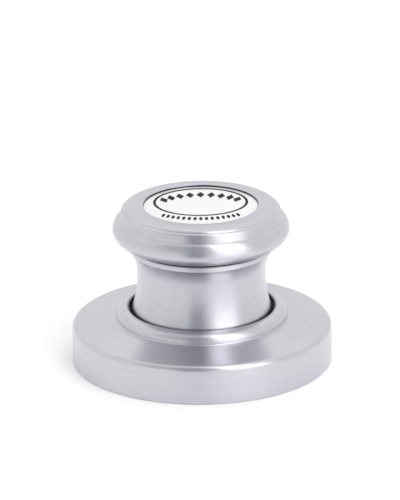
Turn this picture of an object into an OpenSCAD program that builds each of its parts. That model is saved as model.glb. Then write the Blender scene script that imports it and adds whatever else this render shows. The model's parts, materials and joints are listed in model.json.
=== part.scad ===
// Counter-top air switch for a kitchen garbage disposal.
// A waisted push button slides in a round trim flange. Under the counter a threaded
// shank holds the bellows that the button squeezes, and a lock nut clamps the counter.
// Millimetres. +Z is up. The origin is on the counter's top face, on the button's axis.

/* [Flange] */
// Outer diameter of the trim flange
trim_d = 54; // [50:0.5:70]
// Height of the flange's straight wall
trim_wall_h = 7.1; // [6.5:0.1:12]
// Radius of the flange's rounded top edge
trim_edge_r = 1.2; // [0.4:0.1:2]
// Rise of the flange's conical top, in degrees
trim_slope = 8.5; // [4:0.5:14]
// Thickness of the flange's outer wall
trim_wall_t = 2.6; // [1.5:0.1:4]
// Width of the raised bead round the bore
bead_w = 2.8; // [1.5:0.1:4]
// Height of the raised bead over the conical top
bead_h = 2.3; // [1:0.1:4]
// Diameter of the bore that the button slides in
bore_d = 30.2; // [24:0.1:34]

/* [Button] */
// Height of the button's top face over the counter, at rest
button_top_z = 34; // [32:0.1:50]
// How far the button travels
travel = 5; // [2:0.5:6]
// How far the waist lies inside the bore's sliding land
waist_inset = 1.7; // [0.8:0.1:4]
// Height of the waist over the counter
waist_z = 18.3; // [14:0.1:22]
// How far the spool's top flares out from the waist
neck_flare = 1.4; // [0.5:0.05:3]
// How far the skirt under the waist lies inside the sliding land
skirt_inset = 0.4; // [0.1:0.05:0.8]
// Wall thickness of the hollow spool
spool_wall_t = 1.8; // [1:0.1:3]
// Thickness of the web at the top of the spool
spool_web_t = 3.2; // [2:0.1:5]

/* [Cap] */
// Largest diameter of the cap
cap_d = 36.7; // [30.6:0.1:50]
// Height of the cap's widest circle under its top face
cap_waist_drop = 5.3; // [4.6:0.1:7]
// Height of the crease over the cap's widest circle
cap_crease_rise = 2.5; // [1.5:0.1:3]
// How far the crease lies inside the widest circle
cap_crease_inset = 1.1; // [0.6:0.1:1.4]
// How far the ridge over the crease lies inside the widest circle
cap_ridge_inset = 1.8; // [1.5:0.1:3]
// Width of the metal rim round the label
cap_rim_w = 4.6; // [2:0.1:7]
// Depth from the rim's inner edge to the label's face
label_drop = 0.4; // [0.2:0.1:1.5]
// Thickness of the label disc
label_t = 1.2; // [0.6:0.1:2]
// Thickness of the pad under the label disc
pad_t = 0.4; // [0.2:0.1:1]
// Thickness of the washer between cap and spool
cap_washer_t = 0.5; // [0.3:0.1:1.5]

/* [Stem] */
// Diameter of the stem
stem_d = 6; // [4:0.5:8]
// Diameter of the stem's threaded upper end
stem_thread_d = 5; // [3:0.5:7]
// Thickness of the stem's flat cut, which stops the button turning
stem_flat_t = 0.7; // [0.3:0.1:1]
// Thickness of the retaining ring
ring_t = 0.8; // [0.5:0.1:1.5]

/* [Spring] */
// Radial gap round the return spring
spring_gap = 1.9; // [0.5:0.1:4]
// Wire diameter of the return spring
spring_wire_d = 1.3; // [0.8:0.1:1.8]
// Number of turns of the return spring
spring_turns = 8; // [5:1:10]
// Thickness of each spring seat
seat_t = 0.8; // [0.5:0.1:1.5]

/* [Shank] */
// Outer diameter of the shank's thread
shank_d = 32; // [26:0.5:48]
// Pitch of the shank's thread
thread_pitch = 2; // [1.5:0.5:3]
// Depth of the shank's thread
thread_depth = 0.7; // [0.4:0.1:1]
// How far the pilot over the thread stands out from the thread
pilot_step = 1.2; // [0.5:0.1:3]
// Thickness of the counter that is clamped
counter_t = 20; // [10:1:30]
// Length of the shank under the counter's top face
shank_len = 58; // [54:1:80]
// Depth of the guide plate's top face under the counter's top face
plate_depth = 13; // [11:0.5:16]
// Thickness of the guide plate
plate_t = 3; // [2:0.5:5]

/* [Bellows] */
// Radial gap between the bellows and its chamber
bellows_gap = 1.9; // [1:0.1:4]
// Number of folds of the bellows
bellows_folds = 4; // [3:1:6]
// Depth of each fold
bellows_fold_depth = 3; // [2:0.5:4]
// Wall thickness of the bellows
bellows_t = 1; // [0.6:0.1:1.5]

/* [Fastening] */
// Wall of the lock nut between its bore and its flats
nut_wall = 4.4; // [3:0.1:8]
// Height of the lock nut
nut_h = 10; // [6:0.5:14]
// How far the deck washer and the slip washer stand out from the thread
washer_w = 9; // [6:0.5:16]
// Thickness of the rubber deck washer
deck_washer_t = 2.5; // [1:0.1:4]
// Thickness of the slip washer
slip_washer_t = 1.2; // [0.8:0.1:2]

/* [Hose barb] */
// Diameter of the barb's crests, for a hose of 3.2 mm bore
barb_d = 4.5; // [3.5:0.1:6]
// Length of the barbed nipple
barb_len = 14; // [11:0.5:20]
// Distance across the flats of the barb's hexagon
barb_af = 10; // [8:0.5:13]
// Diameter of the air passage
air_d = 2.4; // [1.5:0.1:3]

/* [Hidden] */
$fn = 96;
clip = 0.01;
// How far a cut runs past the surface it opens
cut = 1;
// Clearances
run_gap = 0.05;
bore_gap = 0.08;
hang_gap = 0.2;
stop_gap = 0.3;

// Flange
trim_r = trim_d / 2;
bore_r = bore_d / 2;
bead_r = bore_r + bead_w;
edge_top_r = trim_r - trim_edge_r + trim_edge_r * sin(trim_slope);
edge_top_z = trim_wall_h + trim_edge_r * cos(trim_slope);
bead_foot_z = edge_top_z + (edge_top_r - bead_r) * tan(trim_slope);
bead_top_z = bead_foot_z + bead_h;
bore_edge_r = 0.4;
bead_arc_r = min(bead_h, bead_w - 2 * bore_edge_r);

// Guide bush, socket and shank head, each fitted outwards from the bore
bush_t = 1.2;
bush_r = bore_r + bush_t;
bush_lip_t = 1;
bush_top_z = bead_top_z - bush_lip_t;
bush_foot_z = 0.4;
head_t = 3.2;
head_r = bush_r + head_t;
socket_wall_t = 1.9;
socket_r = head_r + socket_wall_t;
socket_roof_t = 2;
socket_top_z = bead_foot_z - socket_roof_t;
gasket_t = 0.5;
head_top_z = socket_top_z - gasket_t;
seal_h = 4;
seal_r_in = socket_r;
seal_r_out = trim_r - trim_wall_t;

// Button
foot_z = bush_foot_z + stop_gap + travel;
land_h = 3.6;
land_r = bore_r - run_gap;
skirt_r = land_r - skirt_inset;
waist_r = land_r - waist_inset;
neck_r = waist_r + neck_flare;
skirt_h = 1.8;
skirt_top_z = foot_z + land_h + skirt_h;
cavity_r = waist_r - spool_wall_t;
cap_h = 8;
cap_foot_z = button_top_z - cap_h;
spool_top_z = cap_foot_z - cap_washer_t;
web_z = spool_top_z - spool_web_t;
neck_bevel_w = 0.2;
neck_bevel_h = 0.2;
neck_lip_h = 1;
neck_z = spool_top_z - neck_bevel_h - neck_lip_h;
oring_wire_r = 0.7;
oring_groove_h = 1.6;
oring_groove_r = land_r - 2 * oring_wire_r;
oring_z = foot_z + land_h / 2;
curve_steps = 12;

// Cap
cap_r = cap_d / 2;
cap_wide_z = button_top_z - cap_waist_drop;
cap_foot_inset = 1.4;
cap_foot_r = neck_r - cap_foot_inset;
cap_under_r = neck_r;
cap_under_h = 2.7;
torus_arc_r = (pow(cap_crease_inset, 2) + pow(cap_crease_rise, 2)) / (2 * cap_crease_inset);
torus_arc_end = asin(cap_crease_rise / torus_arc_r);
ridge_r = cap_r - cap_ridge_inset;
ridge_arc_r = 0.5;
ridge_drop = 1.35;
ridge_arc_z = button_top_z - ridge_drop;
ridge_arc_end = 70;
rim_fall = 0.3;
rim_arc_r = 0.95;
rim_inset = 1.4;
rim_arc_centre_r = ridge_r - rim_inset;
rim_arc_z = button_top_z - rim_fall - rim_arc_r;
rim_arc_start = 25;
rim_arc_end = 84;
label_r = ridge_r - cap_rim_w;
label_face_z = button_top_z - label_drop;
label_foot_z = label_face_z - label_t;
recess_z = label_foot_z - pad_t;
recess_chamfer = 0.15;
cap_wall_t = 1.9;
cap_cavity_r = cap_foot_r - cap_wall_t;
cap_roof_t = 2;
cap_cavity_top_z = recess_z - cap_roof_t;
cap_hole_roof_t = 1.4;
cap_hole_top_z = recess_z - cap_hole_roof_t;
stem_end_gap = 0.5;
stem_top_z = cap_hole_top_z - stem_end_gap;
washer_inset = 0.4;

// Shank
shank_r = shank_d / 2;
thread_root_r = shank_r - thread_depth;
pilot_r = shank_r + pilot_step;
pilot_h = 3;
shank_foot_z = -shank_len;
shank_wall_t = 1.9;
shank_bore_r = min(cavity_r + spool_wall_t, thread_root_r - shank_wall_t);
end_wall_t = 1.7;
end_bore_r = thread_root_r - end_wall_t;
shoulder_w = 1.2;
chamber_r = end_bore_r - shoulder_w;
end_bore_h = 12;
shoulder_z = shank_foot_z + end_bore_h;
thread_lead_in = 1;
thread_run_out = 1.5;
thread_foot_z = shank_foot_z + thread_lead_in;
thread_top_z = -pilot_h - thread_run_out;
ridge_crest_low = 0.35;
ridge_crest_high = 0.5;
ridge_root_high = 0.85;
thread_count = floor((thread_top_z - thread_foot_z) / thread_pitch);

// Spring and its seats, inside whichever is narrower: the spool or the shank
spring_outer_r = min(cavity_r, shank_bore_r) - spring_gap;
spring_r = spring_outer_r - spring_wire_d / 2;
seat_r = spring_outer_r + spring_gap / 2;
upper_seat_z = web_z - seat_t;
lower_seat_z = seat_t - plate_depth;

// Stem
stem_r = stem_d / 2;
stem_thread_r = stem_thread_d / 2;
cap_boss_wall_t = 3.1;
cap_boss_r = stem_thread_r + cap_boss_wall_t;
stem_hex_step = 1;
stem_hex_af = stem_d + 2 * stem_hex_step;
stem_hex_h = 2.5;
stem_hex_z = upper_seat_z - stem_hex_h;
plate_top_z = -plate_depth;
plate_foot_z = plate_top_z - plate_t;
ring_top_z = plate_foot_z - hang_gap;
ring_foot_z = ring_top_z - ring_t;
ring_groove_depth = 0.6;
ring_groove_r = stem_r - ring_groove_depth;
ring_w = 3;
ring_r = stem_r + ring_w;
ring_mouth_bite = 1;
ring_mouth_w = stem_d - ring_mouth_bite;
plunger_gap = 0.6;
plunger_top_z = ring_foot_z - plunger_gap;
plunger_h = 5.5;
plunger_foot_z = plunger_top_z - plunger_h;
bellows_r = chamber_r - bellows_gap;
plunger_inset = 0.5;
plunger_r = bellows_r - plunger_inset;
plunger_bore_depth = 3.5;
stem_foot_z = plunger_top_z - plunger_bore_depth;
flat_low_margin = 0.1;
flat_high_margin = 0.6;
flat_low_z = plate_foot_z - flat_low_margin;
flat_high_z = plate_top_z + travel + flat_high_margin;

// Bellows, clamp ring and end cap, stacked down from the shank's shoulder
bellows_flange_t = 1.5;
bellows_top_z = plunger_foot_z;
bellows_crown_t = 2;
bellows_foot_z = shoulder_z - bellows_flange_t;
clamp_ring_t = 1.5;
clamp_ring_foot_z = bellows_foot_z - clamp_ring_t;
clamp_ring_r_in = bellows_r - bellows_fold_depth - bellows_t;
fold_h = (bellows_top_z - bellows_crown_t - shoulder_z) / bellows_folds;
end_cap_t = 2;
end_cap_inset = 0.1;
end_cap_r = thread_root_r - end_cap_inset;
end_cap_foot_z = shank_foot_z - end_cap_t;
cap_oring_wire_r = 0.75;
cap_oring_groove_h = 1.7;
cap_oring_groove_r = end_bore_r - 2 * cap_oring_wire_r;
cap_oring_drop = 2.4;
cap_oring_z = clamp_ring_foot_z - cap_oring_drop;
spigot_r = 3.2;
spigot_drop = 0.6;
spigot_top_z = clamp_ring_foot_z - spigot_drop;
slot_w = 4;
slot_l = 3;
slot_depth = 1.2;

// Hose barb
barb_washer_t = 1;
barb_hex_h = 3.5;
barb_hex_top_z = end_cap_foot_z - barb_washer_t;
barb_hex_foot_z = barb_hex_top_z - barb_hex_h;
barb_foot_z = barb_hex_foot_z - barb_len;
barb_crest_r = barb_d / 2;
barb_depth = 0.5;
barb_root_r = barb_crest_r - barb_depth;
barb_land_h = 1.5;
barb_nose_h = 1;
barb_step = 2.5;
barb_count = 3;
barb_low = 0.1;
barb_high = 0.7;
air_r = air_d / 2;

// Parts under the counter, stacked down from its underside
deck_washer_z = -counter_t;
slip_washer_z = deck_washer_z - deck_washer_t;
nut_z = slip_washer_z - slip_washer_t;
washer_r = shank_r + washer_w;
nut_flange_h = 2;
nut_flange_inset = 0.5;
nut_flange_r = washer_r - nut_flange_inset;
nut_bore_r = shank_r + bore_gap;
nut_flat_r = nut_bore_r + nut_wall;
nut_chamfer = 0.8;
deck_washer_gap = 0.4;
seat_gap = 0.4;

// Points on an arc in the (radius, height) plane
function arc(cr, cz, r, a0, a1, steps = 8) =
    [for (i = [0:steps]) [
        cr + r * cos(a0 + (a1 - a0) * i / steps),
        cz + r * sin(a0 + (a1 - a0) * i / steps)
    ]];

// A solid of revolution from an outline
module lathe(outline) {
    rotate_extrude() polygon(outline);
}

// A ring of rectangular section
module ring(r_in, r_out, z_low, z_high) {
    rotate_extrude() translate([r_in, z_low]) square([r_out - r_in, z_high - z_low]);
}

// A ring of round section
module round_ring(r, wire_r, z) {
    rotate_extrude() translate([r, z]) circle(r = wire_r, $fn = 32);
}

// A hexagonal prism of a given size across flats
module hex_prism(af, z_low, z_high) {
    translate([0, 0, z_low]) cylinder(r = af / 2 / cos(30), h = z_high - z_low, $fn = 6);
}

// The flange: a rounded wall, a conical top and a bead round the bore, over a socket
module trim_flange() {
    outer = concat(
        [[socket_r, 0], [head_r, 0], [head_r, socket_top_z], [bush_r, socket_top_z]],
        [[bush_r, bush_top_z], [bore_r, bush_top_z]],
        arc(bore_r + bore_edge_r, bead_top_z - bore_edge_r, bore_edge_r, 180, 90, 3),
        arc(bead_r - bead_arc_r, bead_top_z - bead_arc_r, bead_arc_r, 90, 0),
        [[bead_r, bead_foot_z]],
        arc(trim_r - trim_edge_r, trim_wall_h, trim_edge_r, 90 - trim_slope, 0, 6),
        [[trim_r, 0], [seal_r_out, 0], [seal_r_out, seal_h], [seal_r_in, seal_h]]
    );
    color("silver") lathe(outer);
}

module flange_seal() {
    color("dimgray") ring(seal_r_in, seal_r_out, 0, seal_h);
}

// The shank: a head that screws into the flange, a pilot that centres it in the
// counter's hole, and a threaded tube with a guide plate and the bellows' chamber
module threaded_shank() {
    body = concat(
        [[bush_r, head_top_z], [bush_r, bush_foot_z], [shank_bore_r, bush_foot_z]],
        [[shank_bore_r, plate_top_z], [0, plate_top_z], [0, plate_foot_z]],
        [[chamber_r, plate_foot_z], [chamber_r, shoulder_z], [end_bore_r, shoulder_z]],
        [[end_bore_r, shank_foot_z], [thread_root_r, shank_foot_z]],
        [for (i = [0:thread_count - 1]) each thread_ridge(thread_foot_z + i * thread_pitch)],
        [[thread_root_r, -pilot_h], [pilot_r, -pilot_h], [pilot_r, 0]],
        [[head_r, 0], [head_r, head_top_z]]
    );
    color("dimgray") difference() {
        lathe(body);
        flatted_rod(stem_r + run_gap, stem_flat_t - run_gap, plate_foot_z - cut, plate_top_z + cut);
    }
}

// One ridge of the thread, from its lower root to its upper root
function thread_ridge(z) = [
    [thread_root_r, z],
    [shank_r, z + ridge_crest_low * thread_pitch],
    [shank_r, z + ridge_crest_high * thread_pitch],
    [thread_root_r, z + ridge_root_high * thread_pitch]
];

// A round rod with one flat along it
module flatted_rod(r, flat_t, z_low, z_high) {
    difference() {
        translate([0, 0, z_low]) cylinder(r = r, h = z_high - z_low);
        translate([-r, r - flat_t, z_low - cut]) cube([2 * r, 2 * flat_t, z_high - z_low + 2 * cut]);
    }
}

module socket_gasket() {
    color("black") ring(bush_r, head_r, head_top_z, socket_top_z);
}

// The bush fills the step under the flange's lip and guides the button
module guide_bush() {
    color("darkslategray") ring(bore_r, bush_r, bush_foot_z, bush_top_z);
}

// Radius of the spool at a height: a parabola under the waist and a cubic over it
function spool_r(z) = z < waist_z
    ? waist_r + (skirt_r - waist_r) * pow((waist_z - z) / (waist_z - skirt_top_z), 2)
    : waist_r + (neck_r - waist_r) * pow((z - waist_z) / (neck_z - waist_z), 3);

function spool_curve(z_low, z_high) =
    [for (i = [0:curve_steps]) let (z = z_low + (z_high - z_low) * i / curve_steps) [spool_r(z), z]];

module button_spool() {
    outer = concat(
        [[cavity_r, foot_z], [land_r, foot_z]],
        [[land_r, oring_z - oring_groove_h / 2], [oring_groove_r, oring_z - oring_groove_h / 2]],
        [[oring_groove_r, oring_z + oring_groove_h / 2], [land_r, oring_z + oring_groove_h / 2]],
        [[land_r, foot_z + land_h], [skirt_r, foot_z + land_h]],
        spool_curve(skirt_top_z, neck_z),
        [[neck_r, neck_z + neck_lip_h], [neck_r - neck_bevel_w, spool_top_z]],
        [[stem_thread_r + run_gap, spool_top_z]],
        [[stem_thread_r + run_gap, web_z], [cavity_r, web_z]]
    );
    color("silver") lathe(outer);
}

module button_o_ring() {
    color("black") round_ring(land_r - oring_wire_r, oring_wire_r, oring_z);
}

module cap_washer() {
    color("black") ring(stem_thread_r + run_gap, cap_foot_r - washer_inset, spool_top_z, cap_foot_z);
}

// The cap: a low underside, a main torus, a crease, a ridge, and a rim that rises to
// the label's recess
module button_cap() {
    under_w = cap_r - cap_under_r;
    outer = concat(
        [[0, cap_hole_top_z], [stem_thread_r, cap_hole_top_z], [stem_thread_r, cap_foot_z]],
        [[cap_boss_r, cap_foot_z], [cap_boss_r, cap_cavity_top_z]],
        [[cap_cavity_r, cap_cavity_top_z], [cap_cavity_r, cap_foot_z]],
        [[cap_foot_r, cap_foot_z]],
        [for (a = [-80:10:-10]) [cap_under_r + under_w * cos(a), cap_wide_z + cap_under_h * sin(a)]],
        arc(cap_r - torus_arc_r, cap_wide_z, torus_arc_r, 0, torus_arc_end, 6),
        arc(ridge_r - ridge_arc_r, ridge_arc_z, ridge_arc_r, 0, ridge_arc_end, 4),
        arc(rim_arc_centre_r, rim_arc_z, rim_arc_r, rim_arc_start, rim_arc_end, 4),
        [[label_r + recess_chamfer, button_top_z], [label_r, button_top_z - recess_chamfer]],
        [[label_r, recess_z], [0, recess_z]]
    );
    color("silver") lathe(outer);
}

module label_disc() {
    color("white") ring(0, label_r, label_foot_z, label_face_z);
}

module label_pad() {
    color("lightgray") ring(0, label_r, recess_z, label_foot_z);
}

// The stem: a threaded end in the cap, a hexagon that clamps the spool, and a rod with
// a flat for the guide plate and a groove for the retaining ring
module stem() {
    color("lightsteelblue") difference() {
        union() {
            translate([0, 0, stem_hex_z])
                cylinder(r = stem_thread_r, h = stem_top_z - stem_hex_z);
            hex_prism(stem_hex_af, stem_hex_z, upper_seat_z);
            translate([0, 0, stem_foot_z]) cylinder(r = stem_r, h = stem_hex_z - stem_foot_z + clip);
        }
        ring(ring_groove_r, stem_r + cut, ring_foot_z, ring_top_z);
        translate([-stem_r, stem_r - stem_flat_t, flat_low_z])
            cube([2 * stem_r, 2 * stem_flat_t, flat_high_z - flat_low_z]);
    }
}

module upper_spring_seat() {
    color("gainsboro") ring(stem_thread_r + run_gap, seat_r, upper_seat_z, web_z);
}

module lower_spring_seat() {
    color("gainsboro") ring(stem_r + seat_gap, seat_r, plate_top_z, lower_seat_z);
}

// Height of the spring's centre line after a number of turns: each end turn is closed
function coil_z(turn) =
    let (
        low = lower_seat_z + spring_wire_d / 2,
        high = upper_seat_z - spring_wire_d / 2,
        open = (high - low - 2 * spring_wire_d) / (spring_turns - 2)
    )
    turn < 1 ? low + spring_wire_d * turn
    : turn > spring_turns - 1 ? high - spring_wire_d * (spring_turns - turn)
    : low + spring_wire_d + open * (turn - 1);

// The spring's wire, swept along the coil as one closed skin
module return_spring() {
    sides = 8;
    steps = 20;
    rings = spring_turns * steps;
    points = [for (k = [0:rings]) let (t = 360 * k / steps, z = coil_z(k / steps))
        for (s = [0:sides - 1]) let (a = 360 * s / sides, r = spring_r + spring_wire_d / 2 * cos(a))
            [r * cos(t), r * sin(t), z + spring_wire_d / 2 * sin(a)]];
    skin = [for (k = [0:rings - 1]) for (s = [0:sides - 1]) let (n = (s + 1) % sides)
        [k * sides + s, k * sides + n, (k + 1) * sides + n, (k + 1) * sides + s]];
    first = [[for (s = [0:sides - 1]) sides - 1 - s]];
    last = [[for (s = [0:sides - 1]) rings * sides + s]];
    faces = [for (f = concat(skin, first, last)) [for (i = [len(f) - 1:-1:0]) f[i]]];
    color("slategray") polyhedron(points, faces);
}

// An open ring snapped into the stem's groove
module retaining_ring() {
    color("slategray") difference() {
        ring(ring_groove_r, ring_r, ring_foot_z, ring_top_z);
        translate([0, -ring_mouth_w / 2, ring_foot_z - cut])
            cube([ring_r + cut, ring_mouth_w, ring_t + 2 * cut]);
    }
}

module plunger() {
    color("whitesmoke") difference() {
        translate([0, 0, plunger_foot_z]) cylinder(r = plunger_r, h = plunger_h);
        translate([0, 0, stem_foot_z]) cylinder(r = stem_r, h = plunger_h);
    }
}

// The bellows: a closed crown, folded walls and a flange that seals on the shoulder
function fold_line(r_offset) =
    [for (i = [0:bellows_folds - 1]) let (z = shoulder_z + i * fold_h) each [
        [bellows_r - bellows_fold_depth + r_offset, z],
        [bellows_r + r_offset, z + fold_h / 2]
    ]];

module bellows() {
    crown_z = bellows_top_z - bellows_crown_t;
    inner_r = bellows_r - bellows_fold_depth - bellows_t;
    folds = fold_line(0);
    lining = fold_line(-bellows_t);
    outer = concat(
        [[end_bore_r, bellows_foot_z], [end_bore_r, shoulder_z]],
        folds,
        [[bellows_r - bellows_fold_depth, crown_z], [bellows_r - bellows_fold_depth, bellows_top_z]],
        [[0, bellows_top_z], [0, crown_z], [inner_r, crown_z]],
        [for (i = [len(lining) - 1:-1:0]) lining[i]],
        [[inner_r, bellows_foot_z]]
    );
    color("black") lathe(outer);
}

module bellows_clamp_ring() {
    color("lightsteelblue") ring(clamp_ring_r_in, end_bore_r, clamp_ring_foot_z, bellows_foot_z);
}

module end_cap() {
    outer = [
        [spigot_r, clamp_ring_foot_z], [end_bore_r, clamp_ring_foot_z],
        [end_bore_r, cap_oring_z + cap_oring_groove_h / 2],
        [cap_oring_groove_r, cap_oring_z + cap_oring_groove_h / 2],
        [cap_oring_groove_r, cap_oring_z - cap_oring_groove_h / 2],
        [end_bore_r, cap_oring_z - cap_oring_groove_h / 2],
        [end_bore_r, shank_foot_z], [end_cap_r, shank_foot_z], [end_cap_r, end_cap_foot_z],
        [spigot_r, end_cap_foot_z]
    ];
    color("dimgray") difference() {
        lathe(outer);
        for (side = [-1, 1])
            translate([side * (end_cap_r - slot_l / 2) - slot_l / 2, -slot_w / 2, end_cap_foot_z - cut])
                cube([slot_l, slot_w, slot_depth + cut]);
    }
}

module end_cap_o_ring() {
    color("black") round_ring(end_bore_r - cap_oring_wire_r, cap_oring_wire_r, cap_oring_z);
}

// The hose barb: a spigot in the end cap, a hexagon, and a nipple with three barbs
module hose_barb() {
    nose_z = barb_foot_z + barb_nose_h;
    nipple = [
        [air_r, barb_foot_z], [barb_root_r, barb_foot_z], [barb_crest_r, nose_z],
        [barb_crest_r, nose_z + barb_land_h], [barb_root_r, nose_z + barb_land_h],
        for (i = [0:barb_count - 1]) each [
            [barb_root_r, nose_z + barb_land_h + (i + barb_low) * barb_step],
            [barb_crest_r, nose_z + barb_land_h + (i + barb_high) * barb_step],
            [barb_root_r, nose_z + barb_land_h + (i + barb_high) * barb_step]
        ],
        [barb_root_r, barb_hex_foot_z + clip], [air_r, barb_hex_foot_z + clip]
    ];
    color("goldenrod") union() {
        lathe(nipple);
        difference() {
            union() {
                hex_prism(barb_af, barb_hex_foot_z, barb_hex_top_z);
                translate([0, 0, barb_hex_top_z - clip])
                    cylinder(r = spigot_r, h = spigot_top_z - barb_hex_top_z + clip);
            }
            translate([0, 0, barb_hex_foot_z - cut])
                cylinder(r = air_r, h = spigot_top_z - barb_hex_foot_z + 2 * cut);
        }
    }
}

module barb_washer() {
    color("firebrick") ring(spigot_r, barb_af / 2, barb_hex_top_z, end_cap_foot_z);
}

module deck_washer() {
    color("black") ring(shank_r + deck_washer_gap, washer_r, slip_washer_z, deck_washer_z);
}

module slip_washer() {
    color("gainsboro") ring(nut_bore_r, washer_r, nut_z, slip_washer_z);
}

// The lock nut: a hexagon with a flange, chamfered at both ends of its bore
module lock_nut() {
    color("dimgray") difference() {
        union() {
            translate([0, 0, nut_z - nut_flange_h]) cylinder(r = nut_flange_r, h = nut_flange_h);
            hex_prism(2 * nut_flat_r, nut_z - nut_h, nut_z - nut_flange_h + clip);
        }
        lathe([
            [0, nut_z + cut], [nut_bore_r, nut_z + cut], [nut_bore_r, nut_z - nut_h + nut_chamfer],
            [nut_bore_r + nut_chamfer, nut_z - nut_h], [nut_bore_r + nut_chamfer, nut_z - nut_h - cut],
            [0, nut_z - nut_h - cut]
        ]);
    }
}

trim_flange();
flange_seal();
threaded_shank();
socket_gasket();
guide_bush();
button_spool();
button_cap();
cap_washer();
label_disc();
label_pad();
button_o_ring();
stem();
upper_spring_seat();
lower_spring_seat();
return_spring();
retaining_ring();
plunger();
bellows();
bellows_clamp_ring();
end_cap();
end_cap_o_ring();
hose_barb();
barb_washer();
deck_washer();
slip_washer();
lock_nut();
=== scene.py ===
# %% [markdown]
# # A counter-top air switch in Blender
# The object is the push button that switches a kitchen garbage disposal on and off by air.
# A wide metal flange stands on the counter. A waisted button with a mushroom cap slides in
# it, and under the counter a threaded shank holds the bellows, the lock nut and the hose
# barb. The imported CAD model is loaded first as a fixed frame. Nearly every visible piece is
# then modelled again with finer edges, in the same place, and gets its finish.

# %% Load the frame
import json
import math

import bmesh
import bpy
from mathutils import Matrix, Quaternion, Vector


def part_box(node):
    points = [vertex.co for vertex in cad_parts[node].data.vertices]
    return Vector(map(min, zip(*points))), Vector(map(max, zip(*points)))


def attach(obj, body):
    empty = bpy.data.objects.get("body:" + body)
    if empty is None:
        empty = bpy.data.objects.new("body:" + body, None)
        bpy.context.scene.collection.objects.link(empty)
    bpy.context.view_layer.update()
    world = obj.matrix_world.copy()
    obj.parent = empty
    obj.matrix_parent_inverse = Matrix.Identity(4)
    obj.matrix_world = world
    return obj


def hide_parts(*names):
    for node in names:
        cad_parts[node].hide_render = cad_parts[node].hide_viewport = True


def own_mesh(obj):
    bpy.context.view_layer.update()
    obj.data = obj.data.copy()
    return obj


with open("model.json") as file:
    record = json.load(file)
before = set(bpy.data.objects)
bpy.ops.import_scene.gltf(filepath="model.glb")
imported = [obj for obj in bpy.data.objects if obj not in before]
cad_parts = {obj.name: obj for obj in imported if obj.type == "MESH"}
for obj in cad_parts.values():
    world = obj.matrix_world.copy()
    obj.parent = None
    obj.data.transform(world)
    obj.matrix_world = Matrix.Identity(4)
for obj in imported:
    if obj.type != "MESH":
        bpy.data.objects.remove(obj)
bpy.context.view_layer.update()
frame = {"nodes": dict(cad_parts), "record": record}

# %% [markdown]
# ## Sizes
# Every outline below is a list of points in millimetres, as (radius, height) over the
# counter's top face. Radii and heights come from the frame's boxes where a piece ends, so
# that the new pieces keep the CAD sizes. What lies inside a piece, such as the foot of a
# bead, is a named value here.

# %% Read the main sizes from the frame
MM = 0.001


def radius(node):
    """Largest radius of a round CAD node, in millimetres."""
    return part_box(node)[1].y / MM


def low(node):
    """Height of a CAD node's lowest point, in millimetres."""
    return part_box(node)[0].z / MM


def high(node):
    """Height of a CAD node's highest point, in millimetres."""
    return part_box(node)[1].z / MM


flange_r, flange_top = radius("trim_flange"), high("trim_flange")
cap_r, cap_foot, cap_top = radius("button_cap"), low("button_cap"), high("button_cap")
label_r, label_face = radius("label_disc"), high("label_disc")
bush_r, bush_top = radius("guide_bush"), high("guide_bush")
land_r, spool_foot, spool_top = radius("button_spool"), low("button_spool"), high("button_spool")
RUNNING_GAP = 0.05
NECK_INSET = 0.3
bore_r = land_r + RUNNING_GAP
neck_r = land_r - NECK_INSET
print(f"flange {2 * flange_r:.1f} across, cap {2 * cap_r:.1f} across, {cap_top:.1f} high")

# %% [markdown]
# ## Turning a piece
# Nearly every piece is a turned one. In Blender it could be a Screw modifier on a curve, a
# lathe in geometry nodes, or a spin of a closed outline in bmesh. The spin is chosen: it
# needs no modifier, and the outline stays a short list that reads like a drawing. A corner
# can be rounded either by a bevel afterwards or by an arc in the outline. The arc is used,
# because it gives each corner its own radius.

# %% A rounded corner and an outline helper
ARC_STEPS = 8
ON_AXIS = 1e-6
LEAST_CUT = 0.01
CUT_SHARE = 0.4


def arc(centre_r, centre_z, size, start, end, steps=ARC_STEPS):
    """Points on an arc, from one angle to another in degrees."""
    turns = [math.radians(start + (end - start) * i / steps) for i in range(steps + 1)]
    return [(centre_r + size * math.cos(t), centre_z + size * math.sin(t)) for t in turns]


def rounded(outline, size, steps=4):
    """The outline with every corner off the axis cut back by a small round."""
    points = []
    for i, corner in enumerate(outline):
        here = Vector(corner)
        before = Vector(outline[i - 1]) - here
        after = Vector(outline[(i + 1) % len(outline)]) - here
        cut = min(size, before.length * CUT_SHARE, after.length * CUT_SHARE)
        if here.x < ON_AXIS or cut < LEAST_CUT:
            points.append(corner)
            continue
        a, b = here + before.normalized() * cut, here + after.normalized() * cut
        for k in range(steps + 1):
            t = k / steps
            p = a * (1 - t) ** 2 + here * 2 * t * (1 - t) + b * t ** 2
            points.append((p.x, p.y))
    return points


print("a quarter circle has", len(arc(0, 0, 1, 0, 90)), "points")

# %% [markdown]
# ## The lathe
# Every new piece is finished in the same way: doubles are merged, the faces are turned
# outwards, and the piece gets its finish and the body it rides on. A modifier could find the
# sharp edges. They are marked in the mesh by their angle instead, so that no piece depends
# on a modifier.

# %% The lathe
TURN_STEPS = 256
SHARP_ANGLE = math.radians(28)
SAME_POINT = 1e-7


def new_piece(name, bm, body, material, stands_for=()):
    """Makes a bmesh an object that rides on a body and stands for CAD nodes."""
    bmesh.ops.remove_doubles(bm, verts=bm.verts, dist=SAME_POINT)
    bmesh.ops.recalc_face_normals(bm, faces=bm.faces)
    mesh = bpy.data.meshes.new(name)
    bm.to_mesh(mesh)
    bm.free()
    mesh.polygons.foreach_set("use_smooth", [True] * len(mesh.polygons))
    mesh.set_sharp_from_angle(angle=SHARP_ANGLE)
    mesh.materials.append(material)
    piece = bpy.data.objects.new(name, mesh)
    bpy.context.scene.collection.objects.link(piece)
    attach(piece, body)
    if stands_for:
        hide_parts(*stands_for)
    print(f"{name}: {len(mesh.polygons)} faces")
    return piece


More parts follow.
